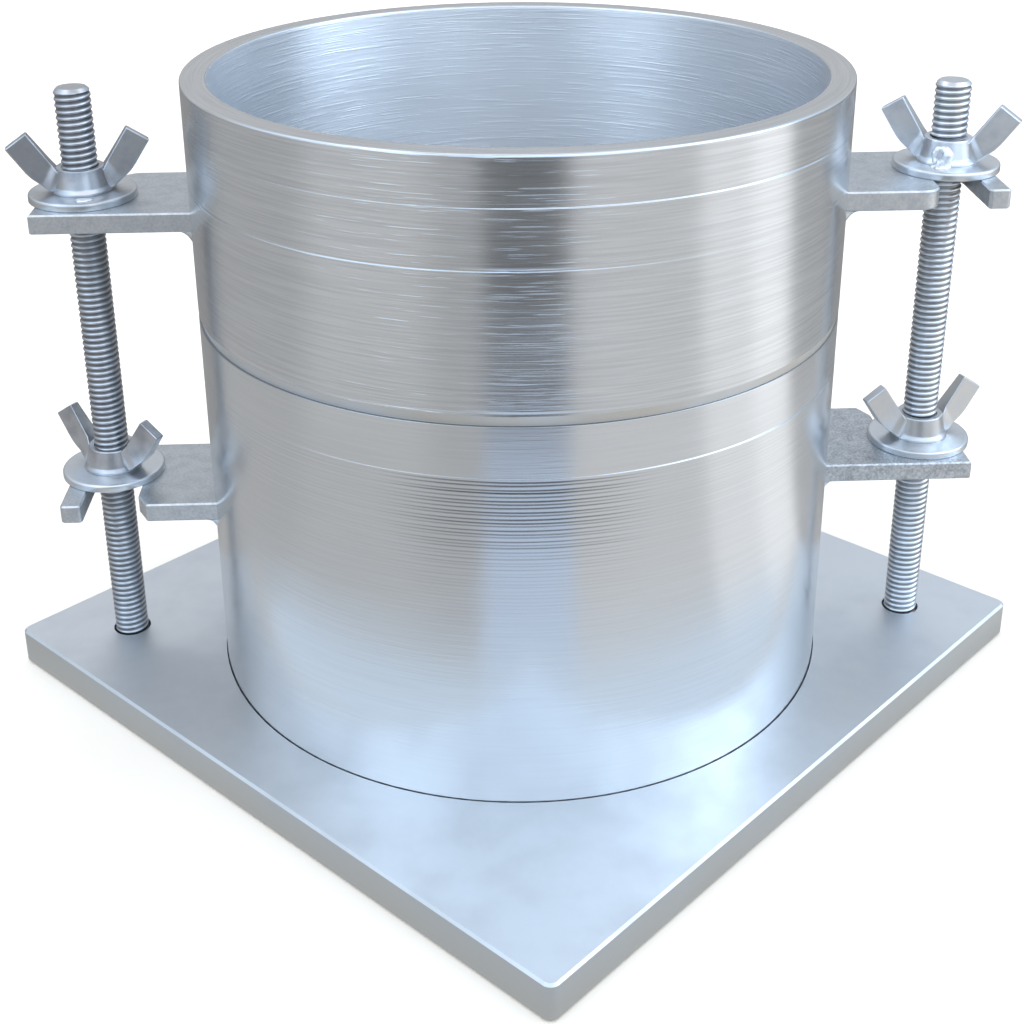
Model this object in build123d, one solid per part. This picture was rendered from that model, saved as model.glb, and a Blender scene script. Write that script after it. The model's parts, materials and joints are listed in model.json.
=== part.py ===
from build123d import *
import math
import os

# All sizes are in millimetres. X runs along the line of the two tie rods, Y goes from front to back,
# Z is up, and the origin is the centre of the base plate's underside.

# Base plate: square, turned so that its corners lie on the X and Y axes
PLATE_SIDE = 200.0
PLATE_THICKNESS = 10.0
PLATE_CORNER_RADIUS = 2.5
PLATE_EDGE_BREAK = 0.6
SEAT_DEPTH = 6.0
SEAT_CLEARANCE = 0.3

# Mould and collar tubes
BORE_DIAMETER = 152.4
WALL = 6.3
MOULD_HEIGHT = 116.4
MOULD_FOOT_BREAK = 0.5
COLLAR_HEIGHT = 60.3
RIM_BREAK = 0.5
SPIGOT_HEIGHT = 11.4
SPIGOT_WALL = 3.0
SPIGOT_LEAD = 0.8
SPIGOT_CLEARANCE = 0.25
SOCKET_HEADROOM = 0.3

# Shallow turned bands below the rim and below the joint, and the bevel on the collar's lower edge
BAND_CUT = 0.25
COLLAR_BAND_HEIGHT = 11.3
MOULD_BAND_HEIGHT = 12.5
BEVEL_HEIGHT = 2.5
BEVEL_CUT = 0.6

# Tie rods: three-eighths coarse thread, modelled as plain bars
ROD_DIAMETER = 9.0
ROD_SPREAD = 220.0
ROD_END_BREAK = 1.3
ROD_SPARE = 14.5
LEFT_ROD_FOOT = 2.0
RIGHT_ROD_FOOT = 0.5
THREAD_CLEARANCE = 0.05
TAP_MOUTH_CLEARANCE = 0.6
TAP_MOUTH_DEPTH = 3.0

# Lugs: flat bar with a U-slot that opens on one long side. A slot is wider than its rod towards the tube,
# because the rod leaves it along an arc about the tube's axis. The inner corner of the slot's mouth is
# rounded on the collar and chamfered on the mould.
LUG_THICKNESS = 5.0
LUG_WIDTH = 36.0
LUG_CLOSED_SIDE = 15.3
LUG_EDGE_BREAK = 0.4
MOULD_SLOT_INNER_GAP = 4.5
MOULD_SLOT_OUTER_GAP = 0.5
COLLAR_SLOT_INNER_GAP = 1.7
COLLAR_SLOT_OUTER_GAP = 0.6
PRONG_WIDTH = 5.5
MOUTH_ROUND = 5.0
MOUTH_CHAMFER_WIDTH = 2.8
MOUTH_CHAMFER_DEPTH = 5.2
PRONG_EASE = 1.0
MOULD_LUG_TOP = 51.5
COLLAR_LUG_TOP = 30.0
LUG_SKEW = 2.0

# Fillet welds under the lugs
WELD_LEG_OUT = 4.5
WELD_LEG_DOWN = 3.5
WELD_HOLLOW = 0.9
WELD_END_MARGIN = 0.5

# Washers
WASHER_DIAMETER = 27.0
WASHER_THICKNESS = 2.0
WASHER_CLEARANCE = 0.5
WASHER_EDGE_ROUND = 0.6

# Wing nuts: a conical boss with two square-ended wings
BOSS_BASE_DIAMETER = 15.4
BOSS_TOP_DIAMETER = 11.4
BOSS_HEIGHT = 6.2
BOSS_FOOT_HEIGHT = 1.0
BOSS_EDGE_BREAK = 0.4
WING_SPAN = 35.0
WING_TOP = 15.4
WING_WIDTH = 6.5
WING_RISE = 56.0
WING_KNEE = 4.4
WING_TIP_THICKNESS = 2.8
WING_ROOT_THICKNESS = 4.6
WING_EDGE_ROUND = 0.5
UPPER_LEFT_ANGLE = 12.0
UPPER_RIGHT_ANGLE = -27.0
LOWER_LEFT_ANGLE = -31.0
LOWER_RIGHT_ANGLE = 15.0

# Sizes that follow from the ones above
bore_radius = BORE_DIAMETER / 2
tube_radius = bore_radius + WALL
spigot_radius = bore_radius + SPIGOT_WALL
socket_radius = spigot_radius + SPIGOT_CLEARANCE
rod_radius = ROD_DIAMETER / 2
thread_radius = rod_radius + THREAD_CLEARANCE
rod_offset = ROD_SPREAD / 2
lug_open_side = LUG_WIDTH - LUG_CLOSED_SIDE

# Levels above the plate's underside
seat_level = PLATE_THICKNESS - SEAT_DEPTH
mould_top = seat_level + MOULD_HEIGHT
joint_level = mould_top - SPIGOT_HEIGHT
socket_level = mould_top + SOCKET_HEADROOM
rim_level = joint_level + COLLAR_HEIGHT
mould_lug_level = PLATE_THICKNESS + MOULD_LUG_TOP
collar_lug_level = joint_level + COLLAR_LUG_TOP
rod_top = collar_lug_level + LUG_SKEW + WASHER_THICKNESS + BOSS_HEIGHT + ROD_SPARE
rod_length = rod_top - RIGHT_ROD_FOOT

# Left is the -X side. The hand-welded lugs sit a little low on the left and a little high on the right.
SIDES = {"left": -1, "right": 1}
ROD_FEET = {"left": LEFT_ROD_FOOT, "right": RIGHT_ROD_FOOT}
LUG_LEVELS = {"mould": mould_lug_level, "collar": collar_lug_level}
SLOT_GAPS = {
    "mould": (MOULD_SLOT_INNER_GAP, MOULD_SLOT_OUTER_GAP),
    "collar": (COLLAR_SLOT_INNER_GAP, COLLAR_SLOT_OUTER_GAP),
}
NUT_ROWS = {"lower": "mould", "upper": "collar"}
NUT_ANGLES = {
    "upper_left": UPPER_LEFT_ANGLE,
    "upper_right": UPPER_RIGHT_ANGLE,
    "lower_left": LOWER_LEFT_ANGLE,
    "lower_right": LOWER_RIGHT_ANGLE,
}


def lug_top(owner, side):
    """Level of a lug's upper face, where its washer sits."""
    return LUG_LEVELS[owner] + SIDES[side] * LUG_SKEW


def bar(radius, low, high):
    """Round bar on the Z axis between two levels."""
    return Pos(0, 0, low) * Cylinder(radius, high - low, align=(Align.CENTER, Align.CENTER, Align.MIN))


def turned(*profile):
    """Solid of revolution about Z from a closed outline of (radius, level) points."""
    points = [(radius, 0, level) for radius, level in profile]
    return revolve(make_face(Polyline(*points, close=True)), Axis.Z)


def base_plate():
    """Square plate with a round seat for the mould and a tapped hole with an open mouth for each rod."""
    outline = Rot(0, 0, 45) * RectangleRounded(PLATE_SIDE, PLATE_SIDE, PLATE_CORNER_RADIUS)
    plate = extrude(outline, PLATE_THICKNESS)
    flats = plate.faces().sort_by(Axis.Z)
    plate = chamfer(flats[0].edges() + flats[-1].edges(), PLATE_EDGE_BREAK)
    plate -= bar(tube_radius + SEAT_CLEARANCE, seat_level, PLATE_THICKNESS)
    tapped = bar(thread_radius, 0, PLATE_THICKNESS)
    mouth = bar(rod_radius + TAP_MOUTH_CLEARANCE, PLATE_THICKNESS - TAP_MOUTH_DEPTH, PLATE_THICKNESS)
    for sign in SIDES.values():
        plate -= Pos(sign * rod_offset, 0, 0) * (tapped + mouth)
    return plate


def tie_rod(side):
    """Stud with broken ends, standing in its tapped hole."""
    rod = bar(rod_radius, 0, rod_length)
    rod = chamfer(rod.edges().filter_by(GeomType.CIRCLE), ROD_END_BREAK)
    return Pos(SIDES[side] * rod_offset, 0, ROD_FEET[side]) * rod


def mould_cylinder():
    """Tube with a turned band below its shoulder and a half-wall spigot above it."""
    band_radius = tube_radius - BAND_CUT
    band_level = joint_level - MOULD_BAND_HEIGHT
    return turned(
        (bore_radius, seat_level),
        (tube_radius - MOULD_FOOT_BREAK, seat_level),
        (tube_radius, seat_level + MOULD_FOOT_BREAK),
        (tube_radius, band_level),
        (band_radius, band_level + BAND_CUT),
        (band_radius, joint_level),
        (spigot_radius, joint_level),
        (spigot_radius, mould_top - SPIGOT_LEAD),
        (spigot_radius - SPIGOT_LEAD, mould_top),
        (bore_radius, mould_top),
    )


def collar_cylinder():
    """Tube with a socket over the mould's spigot, a bevelled lower edge and a turned band below the rim."""
    band_radius = tube_radius - BAND_CUT
    band_level = rim_level - COLLAR_BAND_HEIGHT
    return turned(
        (socket_radius, joint_level),
        (tube_radius - BEVEL_CUT, joint_level),
        (tube_radius, joint_level + BEVEL_HEIGHT),
        (tube_radius, band_level),
        (band_radius, band_level + BAND_CUT),
        (band_radius, rim_level - RIM_BREAK),
        (band_radius - RIM_BREAK, rim_level),
        (bore_radius + RIM_BREAK, rim_level),
        (bore_radius, rim_level - RIM_BREAK),
        (bore_radius, socket_level),
        (socket_radius, socket_level),
    )


def placed(piece, owner, side):
    """Turn a piece made for the collar's right lug to the lug that it belongs to."""
    if owner == "mould":
        piece = mirror(piece, Plane.XZ)
    if side == "left":
        piece = Rot(0, 0, 180) * piece
    return Pos(0, 0, lug_top(owner, side)) * piece


def lug_bar(owner):
    """A lug as on the collar's right side: upper face at Z 0, and a slot for the rod that opens to -Y."""
    inner_gap, outer_gap = SLOT_GAPS[owner]
    slot_width = ROD_DIAMETER + inner_gap + outer_gap
    slot_offset = rod_offset + (outer_gap - inner_gap) / 2
    length = slot_offset + slot_width / 2 + PRONG_WIDTH - bore_radius
    middle = (LUG_CLOSED_SIDE - lug_open_side) / 2
    outline = Pos(bore_radius + length / 2, middle) * Rectangle(length, LUG_WIDTH)
    slot = Pos(slot_offset, 0) * Circle(slot_width / 2)
    slot += Pos(slot_offset, -lug_open_side / 2) * Rectangle(slot_width, lug_open_side)
    outline -= slot
    if owner == "mould":
        inner_wall = slot_offset - slot_width / 2
        outline -= make_face(Polyline(
            (inner_wall, -lug_open_side),
            (inner_wall - MOUTH_CHAMFER_WIDTH, -lug_open_side),
            (inner_wall, MOUTH_CHAMFER_DEPTH - lug_open_side),
            close=True,
        ))
    else:
        mouth = outline.vertices().group_by(Axis.Y)[0].sort_by(Axis.X)
        outline = fillet(mouth[1], MOUTH_ROUND)
    prong = outline.vertices().group_by(Axis.Y)[0].sort_by(Axis.X)
    outline = fillet(prong[-2:], PRONG_EASE)
    lug = extrude(outline, -LUG_THICKNESS)
    flats = lug.faces().filter_by(Axis.Z)
    lug = chamfer(flats.edges(), LUG_EDGE_BREAK)
    return lug - bar(tube_radius, -2 * LUG_THICKNESS, LUG_THICKNESS)


def lug_weld():
    """Hollow fillet bead between the tube and the collar's right lug, along the lug's underside."""
    top = -LUG_THICKNESS
    corner = (tube_radius, 0, top)
    out = (tube_radius + WELD_LEG_OUT, 0, top)
    down = (tube_radius, 0, top - WELD_LEG_DOWN)
    slope = math.hypot(WELD_LEG_OUT, WELD_LEG_DOWN)
    sag_x = WELD_HOLLOW * WELD_LEG_DOWN / slope
    sag_z = WELD_HOLLOW * WELD_LEG_OUT / slope
    belly = (tube_radius + WELD_LEG_OUT / 2 - sag_x, 0, top - WELD_LEG_DOWN / 2 + sag_z)
    section = make_face([Line(corner, out), ThreePointArc(out, belly, down), Line(down, corner)])
    ring = revolve(section, Axis.Z)
    front = lug_open_side - WELD_END_MARGIN
    back = LUG_CLOSED_SIDE - WELD_END_MARGIN
    reach = 2 * tube_radius
    span = Box(reach, front + back, reach, align=(Align.MIN, Align.CENTER, Align.CENTER))
    return ring & (Pos(0, (back - front) / 2, 0) * span)


def washer():
    """Plain washer standing on Z 0, rounded on its upper edge as stamping leaves it."""
    ring = bar(WASHER_DIAMETER / 2, 0, WASHER_THICKNESS)
    ring = fillet(ring.edges().group_by(Axis.Z)[-1], WASHER_EDGE_ROUND)
    return ring - bar(rod_radius + WASHER_CLEARANCE, 0, WASHER_THICKNESS)


def wing():
    """One wing towards +X: a strip that rises from the boss, square at its tip and thinner towards it."""
    rise = math.radians(WING_RISE)
    across = (math.sin(rise) * WING_WIDTH, -math.cos(rise) * WING_WIDTH)
    outer_tip = (WING_SPAN / 2, WING_TOP + across[1])
    inner_tip = (outer_tip[0] - across[0], WING_TOP)
    boss_foot_radius = BOSS_BASE_DIAMETER / 2
    slope = math.tan(rise)
    root = (inner_tip[0] - (WING_TOP - BOSS_HEIGHT) / slope, BOSS_HEIGHT)
    knee = (outer_tip[0] - (outer_tip[1] - WING_KNEE) / slope, WING_KNEE)
    heel = (boss_foot_radius - BOSS_EDGE_BREAK, BOSS_FOOT_HEIGHT)
    edges = [(0, BOSS_HEIGHT), root, inner_tip, outer_tip, knee, heel, (0, BOSS_FOOT_HEIGHT)]
    blade = make_face(Polyline(*[(x, 0, z) for x, z in edges], close=True))
    blade = extrude(blade, WING_ROOT_THICKNESS, both=True, dir=(0, 1, 0))
    half_root = WING_ROOT_THICKNESS / 2
    half_tip = WING_TIP_THICKNESS / 2
    end = WING_SPAN / 2
    plan = make_face(Polyline((0, -half_root), (end, -half_tip), (end, half_tip), (0, half_root), close=True))
    blade &= extrude(plan, WING_TOP)
    tip_edges = blade.edges().filter_by(lambda edge: edge.center().X > boss_foot_radius)
    return fillet(tip_edges, WING_EDGE_ROUND)


def wing_nut():
    """Wing nut standing on Z 0, with its wings along X."""
    base = BOSS_BASE_DIAMETER / 2
    top = BOSS_TOP_DIAMETER / 2
    nut = turned(
        (0, 0),
        (base - BOSS_EDGE_BREAK, 0),
        (base, BOSS_EDGE_BREAK),
        (base, BOSS_FOOT_HEIGHT),
        (top, BOSS_HEIGHT - BOSS_EDGE_BREAK),
        (top - BOSS_EDGE_BREAK, BOSS_HEIGHT),
        (0, BOSS_HEIGHT),
    )
    for angle in (0, 180):
        nut += Rot(0, 0, angle) * wing()
    return nut - bar(thread_radius, 0, WING_TOP)


def all_pieces():
    """Every piece in its place, by node name."""
    pieces = {
        "base_plate": base_plate(),
        "mould_cylinder": mould_cylinder(),
        "collar_cylinder": collar_cylinder(),
    }
    lugs = {owner: lug_bar(owner) for owner in LUG_LEVELS}
    weld = lug_weld()
    ring = washer()
    nut = wing_nut()
    for side, sign in SIDES.items():
        pieces[f"{side}_tie_rod"] = tie_rod(side)
        for row, owner in NUT_ROWS.items():
            seat = lug_top(owner, side)
            corner = f"{row}_{side}"
            pieces[f"{owner}_{side}_lug"] = placed(lugs[owner], owner, side)
            pieces[f"{owner}_{side}_lug_weld"] = placed(weld, owner, side)
            pieces[f"{corner}_washer"] = Pos(sign * rod_offset, 0, seat) * ring
            stand = Pos(sign * rod_offset, 0, seat + WASHER_THICKNESS)
            pieces[f"{corner}_wing_nut"] = stand * Rot(0, 0, NUT_ANGLES[corner]) * nut
    return pieces


os.makedirs("parts", exist_ok=True)
for name, piece in all_pieces().items():
    export_step(piece, f"parts/{name}.step")
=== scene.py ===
"""Looks of a six-inch compaction mould: turned tubes, threaded tie rods, wing nuts and their zinc finish."""

import json
import math
from functools import partial
from typing import NamedTuple

import bmesh
import bpy
import numpy as np
from bpy.props import FloatProperty, FloatVectorProperty, IntProperty, PointerProperty
from mathutils import Matrix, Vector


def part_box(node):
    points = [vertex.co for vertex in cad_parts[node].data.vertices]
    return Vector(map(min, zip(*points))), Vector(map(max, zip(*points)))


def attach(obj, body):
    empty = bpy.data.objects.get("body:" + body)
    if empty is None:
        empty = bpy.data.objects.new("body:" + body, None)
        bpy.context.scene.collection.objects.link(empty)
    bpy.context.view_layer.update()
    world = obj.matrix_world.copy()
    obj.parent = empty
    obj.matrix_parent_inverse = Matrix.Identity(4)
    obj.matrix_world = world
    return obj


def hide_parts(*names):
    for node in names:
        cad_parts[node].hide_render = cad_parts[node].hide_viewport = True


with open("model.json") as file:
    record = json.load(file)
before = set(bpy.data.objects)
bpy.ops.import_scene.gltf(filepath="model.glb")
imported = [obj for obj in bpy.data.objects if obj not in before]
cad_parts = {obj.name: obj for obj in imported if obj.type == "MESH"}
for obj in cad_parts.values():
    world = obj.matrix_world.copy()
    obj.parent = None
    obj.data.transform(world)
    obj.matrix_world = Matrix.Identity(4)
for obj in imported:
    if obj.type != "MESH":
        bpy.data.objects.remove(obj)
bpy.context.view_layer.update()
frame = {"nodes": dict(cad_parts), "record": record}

bl_info = {
    "name": "Compaction mould",
    "version": (1, 0, 0),
    "blender": (4, 5, 0),
    "location": "View3D > Sidebar > Mould",
    "description": "Builds the visible surfaces and zinc finish of a compaction mould on its CAD frame",
    "category": "Object",
}

MM = 0.001
FULL_TURN = 2 * math.pi
QUARTER_TURN = math.pi / 2
FRONT = -QUARTER_TURN
TUBES = ("mould", "collar")
SIDES = ("left", "right")
CORNERS = [f"{row}_{side}" for row in ("lower", "upper") for side in SIDES]

# The bore that both tubes share, and how far a nut climbs in one turn
bore_mount = next(mount for mount in frame["record"]["mounts"] if mount["kind"] == "bore")
BORE_RADIUS = bore_mount["dims"]["r_mm"] * MM
THREAD_PITCH = FULL_TURN * frame["record"]["behaviour"]["couplings"][0]["ratio"]

# How near to a surface counts as on it, and how deep below the skin a tube's outer wall reaches
ON_SKIN = 0.01 * MM
ON_BEVEL = 0.05 * MM
ON_BORE = 0.1 * MM
OUTER_WALL = 1.5 * MM

SHARP_EDGE = math.radians(40)


def linear(hex_colour):
    """Linear red, green and blue of an sRGB hex colour."""
    srgb = np.array([int(hex_colour[i:i + 2], 16) / 255 for i in (1, 3, 5)])
    return tuple(np.where(srgb <= 0.04045, srgb / 12.92, ((srgb + 0.055) / 1.055) ** 2.4).tolist())


WHITE = linear("#FFFFFF")


def length(name, default, description):
    """A length property, with its default in millimetres."""
    return FloatProperty(
        name=name, description=description, default=default * MM, min=0.0, unit="LENGTH", precision=5
    )


def share(name, default, description):
    """A property between nought and one."""
    return FloatProperty(
        name=name, description=description, default=default, min=0.0, max=1.0, subtype="FACTOR"
    )


def angle(name, default, description):
    """An angle property, with its default in radians."""
    return FloatProperty(name=name, description=description, default=default, subtype="ANGLE")


def brightness(name, default, description):
    """A brightness property, in which 1 is white."""
    return FloatProperty(name=name, description=description, default=default, min=0.0)


def number(name, default, least, description):
    """A whole number of facets."""
    return IntProperty(name=name, description=description, default=default, min=least)


def colour(name, default, description):
    """A colour property, with its default as an sRGB hex value."""
    return FloatVectorProperty(
        name=name, description=description, default=linear(default), min=0.0, max=1.0, size=3, subtype="COLOR"
    )


class TubeSettings(bpy.types.PropertyGroup):
    """Turned shape of the mould and its collar."""

    band_cut: length("Band cut", 0.25, "How far the finish-turned bands lie below the tubes' skin")
    collar_band: length("Collar band", 11.3, "Height of the band below the rim")
    mould_band: length("Mould band", 12.5, "Height of the band below the joint")
    bevel_height: length("Bevel height", 2.5, "Height of the bevel on the collar's lower edge")
    bevel_cut: length("Bevel cut", 0.6, "How far that bevel goes in")
    spigot_wall: length("Spigot wall", 3.0, "Wall left on the mould's upper end, inside the collar")
    spigot_clearance: length("Spigot clearance", 0.25, "Gap between the spigot and the collar's socket")
    socket_headroom: length("Socket headroom", 0.3, "Gap above the spigot")
    spigot_lead: length("Spigot lead", 0.8, "Round on the spigot's upper edge")
    rim_round: length("Rim round", 0.6, "Round on the rim's two edges")
    end_round: length("End round", 0.36, "Round on the edges of the mould's two ends")
    edge_round: length("Edge round", 0.12, "Round on the small turned steps")
    ledge_rise: length("Ledge rise", 0.1, "Rise of the ledge below a band")
    band_least: share("Band least", 0.02, "Share of a band's cut that is left where the tube ran out of true")
    groove_spacing: length("Groove spacing", 0.92, "Distance between tool marks on the mould")
    groove_width: length("Groove width", 0.17, "Half width of a tool mark")
    groove_depth: length("Groove depth", 0.055, "Depth of the strongest tool marks")
    groove_waver: length("Groove waver", 0.1, "How far a tool mark strays from its level")
    groove_reach: length("Groove reach", 19.0, "Height over which the mould's strong tool marks fade out")
    groove_end: length("Groove end", 47.0, "Height over which its faint tool marks fade out")
    groove_least: share("Groove least", 0.06, "Share of a tool mark's depth that is left away from the front")
    score_depth: length("Score depth", 0.05, "Depth of the rings scored into the collar")
    score_width: length("Score width", 0.255, "Half width of a scored ring")
    score_waver: length("Score waver", 0.25, "How far a scored ring strays from its level")
    score_least: share("Score least", 0.35, "Share of a ring's depth that is left away from the front")
    joint_grime: share("Joint dirt", 0.42, "How dirty the joint between the tubes is")
    columns: number("Columns", 192, 48, "Facets round a tube")
    foot_rows: number("Foot rows", 24, 1, "Rows of facets on the mould below its tool marks")
    groove_rows: number("Groove rows", 340, 1, "Rows of facets on the mould's tool marks")
    score_rows: number("Score rows", 260, 1, "Rows of facets on the collar's scored wall")
    band_rows: number("Band rows", 12, 1, "Rows of facets on a band")


class RodSettings(bpy.types.PropertyGroup):
    """Thread of the tie rods."""

    thread_depth: length("Thread depth", 0.32, "From crest to root")
    end_break: length("End break", 0.9, "Chamfer on the rods' ends")
    crest_share: share("Crest", 0.2, "Share of the pitch that is flat on the crest")
    root_share: share("Root", 0.3, "Share of the pitch that is flat in the root")
    crest_grime: share("Crest dirt", 0.15, "How dirty the crests are")
    crest_fade: share("Crest fade", 0.3, "Share of the thread's depth at which that dirt has gone")
    rows: number("Rows", 20, 6, "Rows of facets in one pitch")
    columns: number("Columns", 48, 12, "Facets round a rod")


class NutSettings(bpy.types.PropertyGroup):
    """Wing nuts and washers."""

    boss_base: length("Boss base", 7.7, "Radius of the boss at its foot")
    boss_neck: length("Boss neck", 7.0, "Radius of the boss above its flared foot")
    boss_top: length("Boss top", 6.0, "Radius of the boss at its top")
    boss_height: length("Boss height", 6.2, "Height of the boss")
    boss_foot: length("Boss foot", 0.55, "Height of the straight foot of the boss")
    neck_level: length("Neck level", 1.4, "Level at which the flared foot ends")
    foot_round: length("Foot round", 0.15, "Round on the foot's two edges")
    top_round: length("Top round", 0.35, "Round on the boss's upper edge")
    boss_round: length("Boss round", 0.2, "Round on the boss's other edges")
    bore: length("Bore", 4.55, "Radius of the tapped hole")
    wing_reach: length("Wing reach", 17.5, "From the axis to the tip of a wing")
    wing_top: length("Wing top", 15.4, "Level of the wing tips")
    wing_width: length("Wing width", 6.5, "Width of a wing seen from the side")
    wing_rise: angle("Wing rise", math.radians(56), "Slope of a wing above its knee")
    wing_knee: length("Wing knee", 4.4, "Level of the bend on a wing's outer edge")
    knee_round: length("Knee round", 1.8, "Round on that bend")
    heel_round: length("Heel round", 0.6, "Round where a wing's lower edge leaves the boss's foot")
    crook_round: length("Crook round", 1.0, "Round where a wing's upper edge leaves the boss's top")
    wing_bite: length("Wing bite", 0.2, "How far inside the boss a wing's lower edge starts")
    wing_start: length("Wing start", 0.495, "Level at which that edge starts")
    wing_lean: length("Wing lean", 0.4, "How much further inside a wing's upper edge starts")
    wing_sink: length("Wing sink", 0.9, "How far below the boss's top that edge starts")
    wing_tip: length("Tip thickness", 2.8, "Thickness at a wing's tip")
    wing_root: length("Root thickness", 4.6, "Thickness at a wing's root")
    wing_flare: length("Root flare", 0.6, "How far a wing spreads on each side where it meets the boss")
    flare_start: length("Flare start", 0.9, "Distance from the boss at which that spread starts to fall")
    flare_length: length("Flare length", 1.3, "Distance over which it falls")
    wing_round: length("Wing round", 0.32, "Round on a wing's edges")
    washer_bore: length("Washer bore", 5.0, "Radius of a washer's hole")
    washer_round: length("Washer round", 0.75, "Round that stamping leaves on a washer's upper edge")
    washer_burr: length("Washer burr", 0.25, "Round on a washer's other edges")
    columns: number("Columns", 96, 24, "Facets round a boss or washer")


class WeldSettings(bpy.types.PropertyGroup):
    """Beads under the lugs, and the zinc that ran down two of the nuts."""

    leg_out: length("Leg out", 4.5, "Width of a bead along the lug")
    leg_down: length("Leg down", 3.5, "Height of a bead along the tube")
    hollow: length("Hollow", 0.9, "How far a bead's face is dished")
    end_taper: length("End taper", 3.0, "Length over which a bead thins out")
    end_share: share("End share", 0.12, "Share of a bead's size that is left at its ends")
    ripple: length("Ripple", 0.1, "Height of the ripples along a bead")
    ripple_step: length("Ripple step", 1.7, "Distance between ripples")
    run_ring: length("Run ring", 1.65, "Radius of the ring of zinc on the upper right nut")
    run_thickness: length("Run thickness", 1.05, "Radius of the zinc in that ring")
    puddle_height: length("Puddle height", 0.8, "Height of the zinc that set below that ring")
    drop_height: length("Drop height", 0.56, "Height of the drop that set on the upper left washer")
    run_gap: length("Run gap", 0.02, "Gap between a washer and the zinc on it")


class FinishSettings(bpy.types.PropertyGroup):
    """Colours of the zinc."""

    bright_zinc: colour("Bright zinc", "#E0E3E6", "Fresh zinc on a turned or pressed face")
    worn_zinc: colour("Worn zinc", "#D6D9DC", "Zinc where it has dulled")
    dull_zinc: colour("Dull zinc", "#B9BDC0", "Zinc on rolled bar and in corners")
    nut_bright: colour("Nut bright", "#E6EAEF", "Fresh zinc on the upper right nut and the right rod")
    nut_handled: colour("Nut handled", "#CDCECE", "Zinc on the lower right nut")
    # Painted shade: the left nuts take the next two, darker colours, and the left rod's crests the first,
    # which also colours the dull patches of the right nuts
    nut_shaded_and_dull: colour("Nut shaded and dull", "#C8CBD0", "Zinc on the left nuts, and where the right ones have dulled")
    nut_dark: colour("Nut dark", "#A6A8AD", "Zinc where the left nuts have dulled")
    honed_zinc: colour("Honed zinc", "#F4F6F9", "Zinc in the honed bore")
    sanded_zinc: colour("Sanded zinc", "#9C9FA2", "Zinc over the scaled steel of one lug")
    # Painted shade: the next two colours darken the rods' roots and lower flanks, and also tint the dirt on
    # their crests and worn spots
    right_thread_shade_and_dirt: colour("Right thread shade and dirt", "#8E8F91", "Painted shade in the roots of the right rod, and its dirt")
    left_thread_shade_and_dirt: colour("Left thread shade and dirt", "#7A7C80", "Painted shade in the roots of the left rod, and its dirt")
    # Painted shade: the next colour darkens the bottoms of the mould's tool marks, and is also the dirt in
    # the tubes' joint
    groove_shade_and_joint_dirt: colour("Groove shade and joint dirt", "#34373C", "Painted shade in the tool marks of the tubes, and dirt in their joint")
    # Partly painted reflection: the next colour is warm like the ground that the bevel reflects
    bare_steel_and_warm_reflection: colour("Bare steel and warm reflection", "#D0CBC2", "Steel where the zinc has rubbed off an edge, warm as a painted reflection")
    sawn_zinc: colour("Sawn zinc", "#C6C7C6", "Zinc over the plate's sawn edges")
    sawn_drop: length("Sawn drop", 0.6, "How far below the plate's top face the sawn edges start")


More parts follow.
